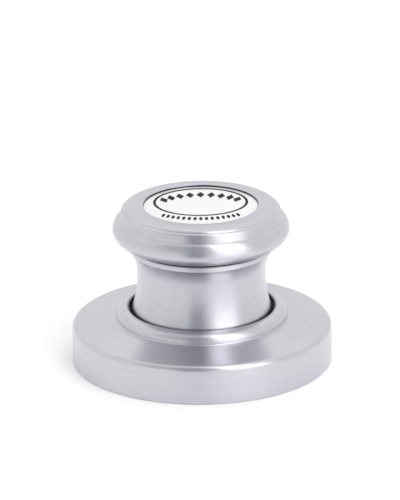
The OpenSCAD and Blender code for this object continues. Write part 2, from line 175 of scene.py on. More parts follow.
def spin_outline(bm, outline, steps=TURN_STEPS):
    """Spins a closed outline round the Z axis inside a bmesh."""
    verts = [bm.verts.new((r * MM, 0, z * MM)) for r, z in outline]
    edges = [bm.edges.new((a, b)) for a, b in zip(verts, verts[1:] + verts[:1])]
    bmesh.ops.spin(
        bm, geom=verts + edges, cent=(0, 0, 0), axis=(0, 0, 1), dvec=(0, 0, 0),
        angle=2 * math.pi, steps=steps, use_merge=True, use_duplicate=False)


def turned(name, outline, body, material, stands_for=(), steps=TURN_STEPS):
    """A turned piece from one closed outline."""
    bm = bmesh.new()
    spin_outline(bm, outline, steps)
    return new_piece(name, bm, body, material, stands_for)


print("a full turn has", TURN_STEPS, "steps")

# %% [markdown]
# ## Building materials from nodes
# A few helpers keep the node graphs short. `around` gives coordinates that follow a turned
# surface: two numbers for the place round the axis, one for the radius and one for the
# height. A noise read in these coordinates, fine across and slow around, makes the long
# thin streaks that a brush leaves on a turning part. It works on a flat top, on a cone and
# on an upright wall alike, which a plain stretched noise doesn't. Most values of a noise lie
# between the two numbers of `NOISE_RANGE`, so a finish spreads that range over its tones.

# %% Node helpers
NEAR_AXIS = 1e-5
NOISE_RANGE = (0.3, 0.7)


def new_material(name):
    """An empty node material, its node tree and its principled shader."""
    material = bpy.data.materials.new(name)
    material.use_nodes = True
    tree = material.node_tree
    tree.nodes.clear()
    output = tree.nodes.new("ShaderNodeOutputMaterial")
    shader = tree.nodes.new("ShaderNodeBsdfPrincipled")
    tree.links.new(shader.outputs["BSDF"], output.inputs["Surface"])
    return material, tree, shader


def math_node(tree, operation, *values):
    """One math node, fed by numbers or by sockets."""
    node = tree.nodes.new("ShaderNodeMath")
    node.operation = operation
    for i, value in enumerate(values):
        if isinstance(value, (int, float)):
            node.inputs[i].default_value = value
        else:
            tree.links.new(value, node.inputs[i])
    return node.outputs[0]


def hypotenuse(tree, first, second):
    """The square root of two values' squares added up."""
    squares = [math_node(tree, "MULTIPLY", side, side) for side in (first, second)]
    return math_node(tree, "SQRT", math_node(tree, "ADD", *squares))


def object_vector(tree):
    """The shaded point in the object's own metres, as a vector."""
    return tree.nodes.new("ShaderNodeTexCoord").outputs["Object"]


def object_point(tree):
    """The shaded point in the object's own metres, as x, y and z."""
    split = tree.nodes.new("ShaderNodeSeparateXYZ")
    tree.links.new(object_vector(tree), split.inputs[0])
    return split.outputs[:3]


def around(tree, turns, per_mm):
    """A vector and a fourth value for a noise that runs round the Z axis."""
    x, y, z = object_point(tree)
    distance = hypotenuse(tree, x, y)
    safe = math_node(tree, "MAXIMUM", distance, NEAR_AXIS)
    join = tree.nodes.new("ShaderNodeCombineXYZ")
    for i, side in enumerate((x, y)):
        along = math_node(tree, "DIVIDE", side, safe)
        tree.links.new(math_node(tree, "MULTIPLY", along, turns), join.inputs[i])
    tree.links.new(math_node(tree, "MULTIPLY", distance, per_mm / MM), join.inputs[2])
    return join.outputs[0], math_node(tree, "MULTIPLY", z, per_mm / MM)


def noise(tree, vector, scale, detail=2.0, rough=0.5, fourth=None):
    """A noise texture's value, in three or four dimensions."""
    node = tree.nodes.new("ShaderNodeTexNoise")
    node.inputs["Scale"].default_value = scale
    node.inputs["Detail"].default_value = detail
    node.inputs["Roughness"].default_value = rough
    if fourth is not None:
        node.noise_dimensions = "4D"
        tree.links.new(fourth, node.inputs["W"])
    tree.links.new(vector, node.inputs["Vector"])
    return node.outputs[0]


def span(tree, value, from_low, from_high, to_low, to_high):
    """Maps one range of a value onto another."""
    node = tree.nodes.new("ShaderNodeMapRange")
    node.inputs["From Min"].default_value = from_low
    node.inputs["From Max"].default_value = from_high
    node.inputs["To Min"].default_value = to_low
    node.inputs["To Max"].default_value = to_high
    tree.links.new(value, node.inputs["Value"])
    return node.outputs["Result"]


def two_colours(tree, factor, first, second):
    """A colour between two, by a factor from 0 to 1. The first may also be a socket."""
    node = tree.nodes.new("ShaderNodeMix")
    node.data_type = "RGBA"
    if isinstance(first, tuple):
        node.inputs[6].default_value = (*first, 1)
    else:
        tree.links.new(first, node.inputs[6])
    node.inputs[7].default_value = (*second, 1)
    tree.links.new(factor, node.inputs[0])
    return node.outputs[2]


def mottled(tree, factor, dark, light):
    """A colour that follows a noise from a dark tone to a light one."""
    return two_colours(tree, span(tree, factor, *NOISE_RANGE, 0, 1), dark, light)


def raise_surface(tree, shader, height, distance, strength=1.0):
    """Bumps the shader's normal by a height value."""
    bump = tree.nodes.new("ShaderNodeBump")
    bump.inputs["Strength"].default_value = strength
    bump.inputs["Distance"].default_value = distance
    tree.links.new(height, bump.inputs["Height"])
    tree.links.new(bump.outputs[0], shader.inputs["Normal"])


print("node helpers ready")

# %% [markdown]
# ## Painted shade in the joints
# A narrow joint looks nearly black, because it lies in shade: the gap round the spool in the
# bore, the mouth under the cap and the wall of the label's recess. That shade is painted into
# the metal's colour. It could be painted on by hand. A function works it out instead: each
# joint is a circle round the axis, and the metal darkens where it comes close to one.

# %% Painted shade in the joints
JOINT_CORE = 0.4


def painted_joint_shade(tree, joints):
    """Painted shade: 1 on a joint, 0 away. A joint is a radius, a height and a reach in millimetres."""
    x, y, z = object_point(tree)
    distance = hypotenuse(tree, x, y)
    painted_shade = 0.0
    for joint_r, joint_z, reach in joints:
        out = math_node(tree, "SUBTRACT", distance, joint_r * MM)
        up = math_node(tree, "SUBTRACT", z, joint_z * MM)
        near = span(tree, hypotenuse(tree, out, up), reach * MM, JOINT_CORE * reach * MM, 0, 1)
        painted_shade = math_node(tree, "MAXIMUM", painted_shade, near)
    return painted_shade


# Painted shade: the bore round the spool, the mouth and depth under the cap, the label's recess
neck_joint_z = cap_foot - 0.25
nickel_shade_joints = (
    (land_r, flange_top - 0.35, 0.80),
    (neck_r - 0.2, neck_joint_z, 0.72),
    (neck_r - 1.1, neck_joint_z, 1.1),
    (label_r, cap_top - 0.3, 0.27))
print(len(nickel_shade_joints), "circles of dirt: the bore, the neck's mouth and depth, the label")

# %% [markdown]
# ## Satin nickel and the other metals
# The flange, the spool and the cap are turned metal with a satin nickel finish, brushed
# while they spin. Three things make that look. The highlight is drawn out across the brush
# lines, which is what the anisotropic setting with a radial tangent does. The lines
# themselves vary a little in tone and roughness. And the lines catch the light, for which
# a very low bump is enough. An image of brushed metal could be wrapped on instead, but it
# would need an unwrapped surface and would show a seam.

# %% Brushed metal finishes
# Near-black colour of the painted shade in the joints
SHADE_TONE = (0.05, 0.05, 0.065)
FINE_TURNS = 9.0
LONG_TURNS, LONG_PER_MM = 3.0, 1.6
FINE_SHARE = 0.8
SPECKLE_SCALE, SPECKLE = 2200, 0.025
GRAIN_TONES = (0.28, 0.72)
GRAIN_SHEEN = (0.25, 0.75)
SHEEN_SPREAD = 0.03
QUARTER_TURN = 0.25


def brushed_metal(name, dark, light, roughness, stretch, lines_per_mm=3.6, bump_mm=0.003, joints=()):
    """Metal brushed round the Z axis: streaks in tone, roughness and height."""
    material, tree, shader = new_material(name)
    shader.inputs["Metallic"].default_value = 1.0
    shader.inputs["Anisotropic"].default_value = stretch
    shader.inputs["Anisotropic Rotation"].default_value = QUARTER_TURN
    tangent = tree.nodes.new("ShaderNodeTangent")
    tangent.direction_type = "RADIAL"
    tangent.axis = "Z"
    tree.links.new(tangent.outputs[0], shader.inputs["Tangent"])
    fine_vector, fine_fourth = around(tree, FINE_TURNS, lines_per_mm)
    fine = noise(tree, fine_vector, 1.0, detail=3.0, rough=0.65, fourth=fine_fourth)
    long_vector, long_fourth = around(tree, LONG_TURNS, LONG_PER_MM)
    long_lines = noise(tree, long_vector, 1.0, fourth=long_fourth)
    speckle = noise(tree, object_vector(tree), SPECKLE_SCALE, rough=0.6)
    fine_part = math_node(tree, "MULTIPLY", fine, FINE_SHARE)
    long_part = math_node(tree, "MULTIPLY", long_lines, 1 - FINE_SHARE)
    blend = math_node(tree, "ADD", fine_part, long_part)
    grain = math_node(tree, "ADD", blend, span(tree, speckle, *NOISE_RANGE, -SPECKLE, SPECKLE))
    tone = two_colours(tree, span(tree, grain, *GRAIN_TONES, 0, 1), dark, light)
    # Painted shade: near each given joint the tone darkens towards the shade colour
    if joints:
        tone = two_colours(tree, painted_joint_shade(tree, joints), tone, SHADE_TONE)
    tree.links.new(tone, shader.inputs["Base Color"])
    sheen = span(tree, grain, *GRAIN_SHEEN, roughness - SHEEN_SPREAD, roughness + SHEEN_SPREAD)
    tree.links.new(sheen, shader.inputs["Roughness"])
    raise_surface(tree, shader, fine, bump_mm * MM, strength=0.3)
    return material


satin_nickel = brushed_metal(
    "satin_nickel", (0.548, 0.546, 0.591), (0.652, 0.648, 0.693),
    roughness=0.30, stretch=0.72, joints=nickel_shade_joints)
stainless = brushed_metal(
    "stainless", (0.50, 0.50, 0.51), (0.64, 0.64, 0.65),
    roughness=0.30, stretch=0.5, lines_per_mm=5.0)
spring_steel = brushed_metal(
    "spring_steel", (0.34, 0.35, 0.37), (0.48, 0.49, 0.51),
    roughness=0.36, stretch=0.3, lines_per_mm=4.0)
turned_brass = brushed_metal(
    "turned_brass", (0.70, 0.50, 0.22), (0.83, 0.64, 0.33),
    roughness=0.27, stretch=0.6, lines_per_mm=6.0)
zinc_steel = brushed_metal(
    "zinc_steel", (0.56, 0.58, 0.62), (0.72, 0.73, 0.75),
    roughness=0.34, stretch=0.2, lines_per_mm=1.2, bump_mm=0.008)
print("metals:", [m.name for m in (satin_nickel, stainless, spring_steel, turned_brass, zinc_steel)])

# %% [markdown]
# ## Plastics and rubber
# The parts under the counter are moulded: glass-filled nylon with a fine grain, smooth
# acetal that looks a little waxy, and matt rubber with a dusty bloom. Each is a principled
# shader whose colour, roughness and bump follow a noise at the scale of the real grain.

# %% Moulded and rubber finishes
SLOW_SCALE = 90
SHEEN_CHANGE, SHEEN_GRAIN = 0.06, 0.04


def moulded(name, dark, light, roughness, grain_per_mm, bump_mm):
    """A moulded surface with a fine grain and slow changes in its sheen."""
    material, tree, shader = new_material(name)
    point = object_vector(tree)
    grain = noise(tree, point, grain_per_mm / MM, detail=3.0, rough=0.6)
    slow = noise(tree, point, SLOW_SCALE)
    tree.links.new(mottled(tree, slow, dark, light), shader.inputs["Base Color"])
    uneven = span(tree, slow, *NOISE_RANGE, roughness - SHEEN_CHANGE, roughness + SHEEN_CHANGE)
    rough_grain = span(tree, grain, *NOISE_RANGE, -SHEEN_GRAIN, SHEEN_GRAIN)
    tree.links.new(math_node(tree, "ADD", uneven, rough_grain), shader.inputs["Roughness"])
    raise_surface(tree, shader, grain, bump_mm * MM, strength=0.6)
    return material


black_nylon = moulded(
    "black_nylon", (0.022, 0.022, 0.025), (0.04, 0.04, 0.044),
    roughness=0.42, grain_per_mm=2.4, bump_mm=0.03)
acetal = moulded(
    "acetal", (0.10, 0.10, 0.11), (0.14, 0.14, 0.15),
    roughness=0.32, grain_per_mm=1.2, bump_mm=0.006)
black_rubber = moulded(
    "black_rubber", (0.018, 0.018, 0.02), (0.045, 0.045, 0.047),
    roughness=0.68, grain_per_mm=3.2, bump_mm=0.03)
foam_pad = moulded(
    "foam_pad", (0.42, 0.42, 0.42), (0.55, 0.55, 0.55),
    roughness=0.85, grain_per_mm=2.0, bump_mm=0.06)
red_fibre = moulded(
    "red_fibre", (0.34, 0.06, 0.04), (0.50, 0.12, 0.08),
    roughness=0.6, grain_per_mm=3.0, bump_mm=0.03)
print("moulded:", [m.name for m in (black_nylon, acetal, black_rubber, foam_pad, red_fibre)])

# %% [markdown]
# ## The label's finishes
# The label is a glossy white disc with thin black marks. The white isn't quite even: a
# very slow noise moves its tone by one part in a hundred, and a clear coat gives the gloss.
# The ink is nearly black, with a faint mottle where it lies thinner.

# %% White enamel and black ink
FILM_SCALE = 160
FILM_HEIGHT = 0.02


def glossy(name, dark, light, roughness, coat, shine=0.5):
    """A glossy printed or enamelled surface."""
    material, tree, shader = new_material(name)
    slow = noise(tree, object_vector(tree), FILM_SCALE)
    tree.links.new(mottled(tree, slow, dark, light), shader.inputs["Base Color"])
    uneven = span(tree, slow, *NOISE_RANGE, roughness - 0.02, roughness + 0.03)
    tree.links.new(uneven, shader.inputs["Roughness"])
    shader.inputs["Specular IOR Level"].default_value = shine
    shader.inputs["Coat Weight"].default_value = coat
    shader.inputs["Coat Roughness"].default_value = 0.04
    raise_surface(tree, shader, slow, FILM_HEIGHT * MM, strength=0.2)
    return material


white_enamel = glossy(
    "white_enamel", (0.86, 0.86, 0.86), (0.90, 0.90, 0.895), roughness=0.16, coat=0.5)
black_ink = glossy(
    "black_ink", (0.008, 0.008, 0.010), (0.018, 0.018, 0.020), roughness=0.45, coat=0.0, shine=0.08)
print("label:", [m.name for m in (white_enamel, black_ink)])

# %% [markdown]
# ## The flange
# On the real object this is one turned part: an upright wall with a rounded top edge, a
# shallow cone, and a raised bead round the bore. Its underside has a socket for the shank
# and a groove for the seal. The outline follows the CAD section, with finer arcs.

# %% Flange
BEAD_R, BEAD_H, BEAD_ARC = bore_r + 2.8, 2.3, 2.0
BORE_EDGE = 0.4
WALL_TOP = 7.1
EDGE_R = 1.2
SLOPE = 8.5
FOOT_COVE = 0.22
FOOT_EDGE, LIP_EDGE, SEAL_EDGE = 0.2, 0.12, 0.1
SOCKET_R, SOCKET_TOP = radius("socket_gasket"), high("socket_gasket")
SEAL_IN = SOCKET_R + 1.9
SEAL_OUT, SEAL_TOP = radius("flange_seal"), high("flange_seal")

cone_top = flange_top - BEAD_H
flange_outline = (
    [(SEAL_IN, LIP_EDGE), (SEAL_IN - LIP_EDGE, 0), (SOCKET_R, 0), (SOCKET_R, SOCKET_TOP)]
    + [(bush_r, SOCKET_TOP), (bush_r, bush_top), (bore_r, bush_top)]
    + arc(bore_r + BORE_EDGE, flange_top - BORE_EDGE, BORE_EDGE, 180, 90)
    + arc(BEAD_R - BEAD_ARC, flange_top - BEAD_ARC, BEAD_ARC, 90, 4, 16)
    + arc(BEAD_R + FOOT_COVE, cone_top + FOOT_COVE * 0.9, FOOT_COVE, 180, 262, 5)
    + arc(flange_r - EDGE_R, WALL_TOP, EDGE_R, 90 - SLOPE, 0, 12)
    + [(flange_r, FOOT_EDGE), (flange_r - FOOT_EDGE, 0), (SEAL_OUT + SEAL_EDGE, 0)]
    + [(SEAL_OUT, SEAL_EDGE), (SEAL_OUT, SEAL_TOP), (SEAL_IN, SEAL_TOP)])
turned("flange", flange_outline, "base", satin_nickel, ["trim_flange"], 384)

# %% [markdown]
# ## The spool
# The button's body is a hollow spool. Below its waist it widens along a parabola to a
# straight skirt and to the land that slides in the bore, and above the waist it flares to
# a low upright collar under the cap. The two curves could be drawn point by point. They
# come from the same formulas as in the CAD instead, twice as fine, so the two agree.

# %% Spool
SKIRT_R = land_r - 0.4
WAIST_R, WAIST_Z = neck_r - 1.4, 18.3
COLLAR_H, COLLAR_EDGE = 1.2, 0.2
LAND_TOP, LAND_EDGE = spool_foot + 3.6, 0.15
SKIRT_TOP = LAND_TOP + 1.8
NECK_Z = spool_top - COLLAR_H
CAVITY_R = WAIST_R - 1.8
WEB_Z = high("upper_spring_seat")
WEB_HOLE_R = 2.55
RING_R, RING_FOOT, RING_TOP = land_r - 1.4, spool_foot + 1.0, spool_foot + 2.6
SPOOL_EDGE = 0.2
CURVE_STEPS = 36


def spool_radius(z):
    """Radius of the spool's outside at a height."""
    if z < WAIST_Z:
        return WAIST_R + (SKIRT_R - WAIST_R) * ((WAIST_Z - z) / (WAIST_Z - SKIRT_TOP)) ** 2
    return WAIST_R + (neck_r - WAIST_R) * ((z - WAIST_Z) / (NECK_Z - WAIST_Z)) ** 3


curve_heights = [SKIRT_TOP + (NECK_Z - SKIRT_TOP) * i / CURVE_STEPS for i in range(CURVE_STEPS + 1)]
spool_outline = (
    [(CAVITY_R + SPOOL_EDGE, spool_foot), (land_r - SPOOL_EDGE, spool_foot)]
    + [(land_r, spool_foot + SPOOL_EDGE), (land_r, RING_FOOT), (RING_R, RING_FOOT)]
    + [(RING_R, RING_TOP), (land_r, RING_TOP)]
    + [(land_r, LAND_TOP - LAND_EDGE), (land_r - LAND_EDGE, LAND_TOP), (SKIRT_R, LAND_TOP)]
    + [(spool_radius(z), z) for z in curve_heights]
    + arc(neck_r - COLLAR_EDGE, spool_top - COLLAR_EDGE, COLLAR_EDGE, 0, 90)
    + [(WEB_HOLE_R, spool_top), (WEB_HOLE_R, WEB_Z)]
    + [(CAVITY_R, WEB_Z), (CAVITY_R, spool_foot + SPOOL_EDGE)])
turned("spool", spool_outline, "button", satin_nickel, ["button_spool"], 320)

# %% [markdown]
# ## The cap
# The mushroom cap is turned too. From below: a low underside that hides the joint with the
# spool, a full torus, a crease, a steep wall that ends in a small ridge, and a rim that
# rises gently to the recess of the label. The arcs are sampled finely, because each one
# catches its own line of light.

# %% Cap
CAP_WIDE_Z = cap_top - 5.3
CREASE_RISE, CREASE_INSET, CREASE_DEPTH = 2.5, 1.1, 0.16
TORUS_R = (CREASE_INSET ** 2 + CREASE_RISE ** 2) / (2 * CREASE_INSET)
TORUS_END = math.degrees(math.asin(CREASE_RISE / TORUS_R))
UNDER_H, UNDER_W = 2.7, cap_r - neck_r
RIDGE_R, RIDGE_ARC, RIM_ARC = cap_r - 1.8, 0.5, 0.95
CAP_FOOT_R = neck_r - 1.4
CAP_CAVITY_R = CAP_FOOT_R - 1.9
RECESS_Z = low("label_pad")
ROOF_Z, STEM_TOP = RECESS_Z - 2, RECESS_Z - 1.4
BOSS_R, STEM_R = 5.6, 2.5

groove_r, groove_z = cap_r - CREASE_INSET - CREASE_DEPTH, CAP_WIDE_Z + CREASE_RISE
under_angles = [math.radians(degrees) for degrees in range(-88, -3, 4)]
cap_outline = (
    [(0, STEM_TOP), (STEM_R, STEM_TOP), (STEM_R, cap_foot), (BOSS_R, cap_foot), (BOSS_R, ROOF_Z)]
    + [(CAP_CAVITY_R, ROOF_Z), (CAP_CAVITY_R, cap_foot), (CAP_FOOT_R, cap_foot)]
    + [(neck_r + UNDER_W * math.cos(a), CAP_WIDE_Z + UNDER_H * math.sin(a)) for a in under_angles]
    + arc(cap_r - TORUS_R, CAP_WIDE_Z, TORUS_R, 3, TORUS_END, 16)
    + [(groove_r, groove_z + 0.06), (groove_r, groove_z + 0.22)]
    + arc(RIDGE_R - RIDGE_ARC, cap_top - 1.35, RIDGE_ARC, 0, 70, 8)
    + arc(RIDGE_R - 1.4, cap_top - 1.25, RIM_ARC, 28, 84, 8)
    + [(label_r + 0.15, cap_top - 0.01), (label_r + 0.04, cap_top - 0.05), (label_r, cap_top - 0.15)]
    + [(label_r, RECESS_Z), (0, RECESS_Z)])
turned("cap", cap_outline, "button", satin_nickel, ["button_cap"], 320)

# %% [markdown]
# ## The label
# The label is a loose disc of white enamel that lies in the cap's recess. A cylinder with a
# bevel would do. It is turned like the rest, so that its outline gets the small round.

# %% Label disc
LABEL_R, LABEL_FOOT = label_r - 0.03, low("label_disc")
LABEL_EDGE = 0.15
label_outline = [(0, LABEL_FOOT), (LABEL_R, LABEL_FOOT), (LABEL_R, label_face), (0, label_face)]
turned(
    "label", rounded(label_outline, LABEL_EDGE), "button", white_enamel,
    ["label_disc"])

# %% [markdown]
# ## The oval ring on the label
# The marks on the label stand for a maker's print and say nothing. They could be an image,
# but thin raised shapes of ink stay crisp at any size. The first is an oval ring, set
# towards the back: two ovals with a bridge of faces between them, raised by the ink's
# thickness.

# %% Oval ring
INK_T = 0.03
OVAL_X, OVAL_Y, OVAL_CENTRE_Y = 9.85, 8.5, 2.3
OVAL_W, OVAL_SIDES = 0.56, 128


def ink_from(name, bm):
    """Gives flat ink shapes their thickness and puts them on the label."""
    faces = list(bm.faces)
    raised = bmesh.ops.extrude_face_region(bm, geom=faces)["geom"]
    verts = [v for v in raised if isinstance(v, bmesh.types.BMVert)]
    bmesh.ops.translate(bm, verts=verts, vec=(0, 0, INK_T * MM))
    return new_piece(name, bm, "button", black_ink)


def oval(bm, half_x, half_y):
    """An oval loop of edges on the label's face."""
    made = bmesh.ops.create_circle(bm, cap_ends=False, radius=MM, segments=OVAL_SIDES)["verts"]
    bmesh.ops.scale(bm, verts=made, vec=(half_x, half_y, 1))
    bmesh.ops.translate(bm, verts=made, vec=(0, OVAL_CENTRE_Y * MM, label_face * MM))
    return list({e for v in made for e in v.link_edges})


bm = bmesh.new()
loops = oval(bm, OVAL_X, OVAL_Y) + oval(bm, OVAL_X - OVAL_W, OVAL_Y - OVAL_W)
bmesh.ops.bridge_loops(bm, edges=loops)
ink_from("label_ring", bm)

# %% [markdown]
# ## The lozenges and the strokes
# Inside the ring runs a row of lozenges, and in front of it a row of short strokes. Each
# mark is a circle with few sides, scaled, leaned with its place on an oval arc and moved
# there. One function makes both rows, because they differ only in their numbers.

# %% Lozenges and strokes
LEAN = 0.4


def row_of_marks(name, count, sweep, half_x, half_y, centre_y, mark_w, mark_h, sides):
    """A row of small flat marks along an oval arc, each leaning with the arc."""
    bm = bmesh.new()
    side = 1 if half_y > 0 else -1
    for i in range(count):
        t = math.radians(sweep * (i / (count - 1) - 0.5))
        place = (half_x * math.sin(t) * MM, (centre_y + half_y * math.cos(t)) * MM, label_face * MM)
        made = bmesh.ops.create_circle(bm, cap_ends=True, radius=MM, segments=sides)["verts"]
        bmesh.ops.scale(bm, verts=made, vec=(mark_w / 2, mark_h / 2, 1))
        lean = LEAN * math.atan2(side * half_y * math.sin(t), half_x * math.cos(t))
        turn = Matrix.Rotation(-lean * side, 3, "Z")
        bmesh.ops.rotate(bm, verts=made, cent=(0, 0, 0), matrix=turn)
        bmesh.ops.translate(bm, verts=made, vec=place)
    return ink_from(name, bm)


row_of_marks(
    "label_lozenges", count=9, sweep=108, half_x=9.4, half_y=7.4, centre_y=-0.6,
    mark_w=1.7, mark_h=3.3, sides=4)
row_of_marks(
    "label_strokes", count=15, sweep=76, half_x=12.5, half_y=-10.4, centre_y=2.5,
    mark_w=0.72, mark_h=2.0, sides=8)

# %% [markdown]
# ## The shank
# The shank is a moulded nylon tube with a screw thread. The CAD has plain ridges; the real
# part has a helix. One turn of the thread's ridge is spun with a small lift at each step,
# which is how the spin operator makes a screw. Spinning every turn this way would be slow,
# so that one turn is copied up the shank and the copies are joined. At both ends the ridge
# sinks into the tube over a third of a turn.

# %% Shank's screw thread
THREAD_R, THREAD_DEPTH = 16.0, 0.7
ROOT_R = THREAD_R - THREAD_DEPTH
RIDGE_FOOT_R = ROOT_R - 0.1
PITCH = 2.0
CREST_START, CREST_END, RIDGE_END = 0.35 * PITCH, 0.5 * PITCH, 0.85 * PITCH
SHANK_TOP, SHANK_FOOT = high("threaded_shank"), low("threaded_shank")
THREAD_START = SHANK_FOOT + 1.2
THREAD_STEPS = 96
THREAD_TURNS = 26
FADE_TURNS = 0.3
FADE_FROM = 0.4

ridge = [(RIDGE_FOOT_R, 0.0), (THREAD_R, CREST_START), (THREAD_R, CREST_END), (RIDGE_FOOT_R, RIDGE_END)]
bm = bmesh.new()
verts = [bm.verts.new((r * MM, 0, (THREAD_START + z) * MM)) for r, z in ridge]
edges = [bm.edges.new((a, b)) for a, b in zip(verts, verts[1:] + verts[:1])]
bmesh.ops.spin(
    bm, geom=verts + edges, cent=(0, 0, 0), axis=(0, 0, 1), dvec=(0, 0, PITCH * MM / THREAD_STEPS),
    angle=2 * math.pi, steps=THREAD_STEPS, use_merge=False, use_duplicate=False)
one_turn = list(bm.verts) + list(bm.edges) + list(bm.faces)
for i in range(1, THREAD_TURNS):
    copied = bmesh.ops.duplicate(bm, geom=one_turn)["geom"]
    lifted = [v for v in copied if isinstance(v, bmesh.types.BMVert)]
    bmesh.ops.translate(bm, verts=lifted, vec=(0, 0, i * PITCH * MM))
bmesh.ops.remove_doubles(bm, verts=bm.verts, dist=1e-6)
bmesh.ops.holes_fill(bm, edges=[e for e in bm.edges if e.is_boundary], sides=4)
for v in bm.verts:
    turns_up = (v.co.z / MM - THREAD_START) / PITCH - FADE_FROM
    fade = max(0.0, min(1.0, turns_up / FADE_TURNS, (THREAD_TURNS - turns_up) / FADE_TURNS))
    reach = v.co.xy.length / MM
    v.co.xy *= (RIDGE_FOOT_R + (reach - RIDGE_FOOT_R) * fade) / reach
print("thread:", len(bm.faces), "faces")

# %% [markdown]
# ## The shank's tube
# The tube is one turned section with steps inside it: the bush's seat, the main bore, a
# plate with a hole for the stem, the chamber of the bellows and the socket of the
# end cap. It could be cut out of a cylinder by booleans. One outline is simpler, and it is
# spun into the same bmesh as the thread, so that the two are one piece.

# %% Shank's tube
PILOT_R, PILOT_H = 17.2, 3.0
PLATE_TOP, PLATE_FOOT = -13.0, -16.0
SHANK_BORE_R = CAVITY_R + 1.8
CHAMBER_R = 12.4
END_BORE_R = radius("bellows")
END_EDGE = 0.4
SHOULDER_Z = SHANK_FOOT + 12
BUSH_FOOT = low("guide_bush")
STEM_HOLE_R = 3.05
SHANK_STEPS = 192
shank_outline = [
    (bush_r, SHANK_TOP), (bush_r, BUSH_FOOT), (SHANK_BORE_R, BUSH_FOOT), (SHANK_BORE_R, PLATE_TOP),
    (STEM_HOLE_R, PLATE_TOP), (STEM_HOLE_R, PLATE_FOOT), (CHAMBER_R, PLATE_FOOT),
    (CHAMBER_R, SHOULDER_Z), (END_BORE_R, SHOULDER_Z), (END_BORE_R, SHANK_FOOT),
    (ROOT_R - END_EDGE, SHANK_FOOT), (ROOT_R, SHANK_FOOT + END_EDGE),
    (ROOT_R, -PILOT_H), (PILOT_R, -PILOT_H), (PILOT_R, 0), (SOCKET_R, 0), (SOCKET_R, SHANK_TOP)]
spin_outline(bm, shank_outline, SHANK_STEPS)
new_piece("shank", bm, "base", black_nylon, ["threaded_shank"])

# %% [markdown]
# ## The lock nut and its washers
# The nut is a moulded hexagon with a round flange. A hexagon with a round hole could be a
# boolean. Here the flat ring between the two loops is filled and extruded instead, which
# keeps the mesh clean, and the outer edges get a bevel.

# %% Lock nut
NUT_TOP, NUT_FOOT = high("lock_nut"), low("lock_nut")
NUT_BORE_R = 16.08
NUT_FLAT_R = NUT_BORE_R + 4.4
NUT_FLANGE_R, NUT_FLANGE_H = radius("lock_nut"), 2.0
NUT_EDGE, NUT_FLANGE_EDGE = 0.6, 0.4
OVERLAP = 0.1
HOLE_SIDES = 96
EDGE_ANGLE = math.radians(20)


def hexagon_ring(bm, flat_r, bore_r, z_low, z_high, soften):
    """A hexagonal ring with a round bore and softened outer edges."""
    corner_r = flat_r / math.cos(math.pi / 6)
    outer = bmesh.ops.create_circle(bm, cap_ends=False, radius=corner_r * MM, segments=6)["verts"]
    inner = bmesh.ops.create_circle(bm, cap_ends=False, radius=bore_r * MM, segments=HOLE_SIDES)["verts"]
    quarter = Matrix.Rotation(math.pi / 2, 3, "Z")
    bmesh.ops.rotate(bm, verts=outer, cent=(0, 0, 0), matrix=quarter)
    bmesh.ops.translate(bm, verts=outer + inner, vec=(0, 0, z_low * MM))
    edges = list({e for v in outer + inner for e in v.link_edges})
    filled = bmesh.ops.triangle_fill(bm, edges=edges, use_beauty=True)["geom"]
    faces = [f for f in filled if isinstance(f, bmesh.types.BMFace)]
    raised = bmesh.ops.extrude_face_region(bm, geom=faces)["geom"]
    top = [v for v in raised if isinstance(v, bmesh.types.BMVert)]
    bmesh.ops.translate(bm, verts=top, vec=(0, 0, (z_high - z_low) * MM))
    bmesh.ops.recalc_face_normals(bm, faces=bm.faces)
    reach = (bore_r + flat_r) / 2 * MM
    rim = [e for e in bm.edges if all(v.co.xy.length > reach for v in e.verts)
           and e.calc_face_angle(0) > EDGE_ANGLE]
    bmesh.ops.bevel(
        bm, geom=rim, offset=soften * MM, affect="EDGES", segments=3, profile=0.5, material=-1)


bm = bmesh.new()
nut_flange_foot = NUT_TOP - NUT_FLANGE_H
hexagon_ring(bm, NUT_FLAT_R, NUT_BORE_R, NUT_FOOT, nut_flange_foot + OVERLAP, NUT_EDGE)
flange_section = [
    (NUT_BORE_R, nut_flange_foot), (NUT_FLANGE_R, nut_flange_foot),
    (NUT_FLANGE_R, NUT_TOP), (NUT_BORE_R, NUT_TOP)]
spin_outline(bm, rounded(flange_section, NUT_FLANGE_EDGE), 128)
new_piece("nut", bm, "nut", black_nylon, ["lock_nut"])

# %% [markdown]
# ## Flat rings
# Above the nut lie a steel slip washer and a rubber washer, and a rubber seal lies in the
# flange's groove. Each could be a cylinder with a hole cut in it. A turned rectangle with
# softened corners gives the same ring in one step, in the place of the CAD's ring.

# %% Washers and seal
def washer(name, node, inner_r, body, material, soften):
    """A flat ring in the place of a CAD ring, with softened edges."""
    outer_r, foot, top = radius(node), low(node), high(node)
    section = [(inner_r, foot), (outer_r, foot), (outer_r, top), (inner_r, top)]
    turned(name, rounded(section, soften), body, material, [node], 160)


washer("rubber_washer", "deck_washer", THREAD_R + 0.4, "washers", black_rubber, 0.5)
washer("steel_washer", "slip_washer", NUT_BORE_R, "washers", zinc_steel, 0.25)
washer("counter_seal", "flange_seal", SEAL_IN, "base", black_rubber, 0.6)

# %% [markdown]
# ## The hose barb
# A small brass fitting: a hexagon for the spanner, and a nipple with barbs that hold a
# soft hose. It could be one boolean of a prism and a turned part. The two are left as
# overlapping shells in one mesh instead, which keeps every edge clean.

# %% Hose barb
BARB_FOOT, BARB_TOP = low("hose_barb"), high("hose_barb")
BARB_HEX_FOOT, BARB_HEX_H, BARB_FLAT_R = BARB_FOOT + 14, 3.5, 5.0
AIR_R, BARB_ROOT_R, BARB_CREST_R, SPIGOT_R = 1.2, 1.75, 2.25, 3.2
BARB_STEP, BARB_COUNT = 2.5, 3
BARB_HEX_EDGE, BARB_EDGE = 0.35, 0.12
NOSE_Z, FIRST_Z = BARB_FOOT + 1, BARB_FOOT + 2.5

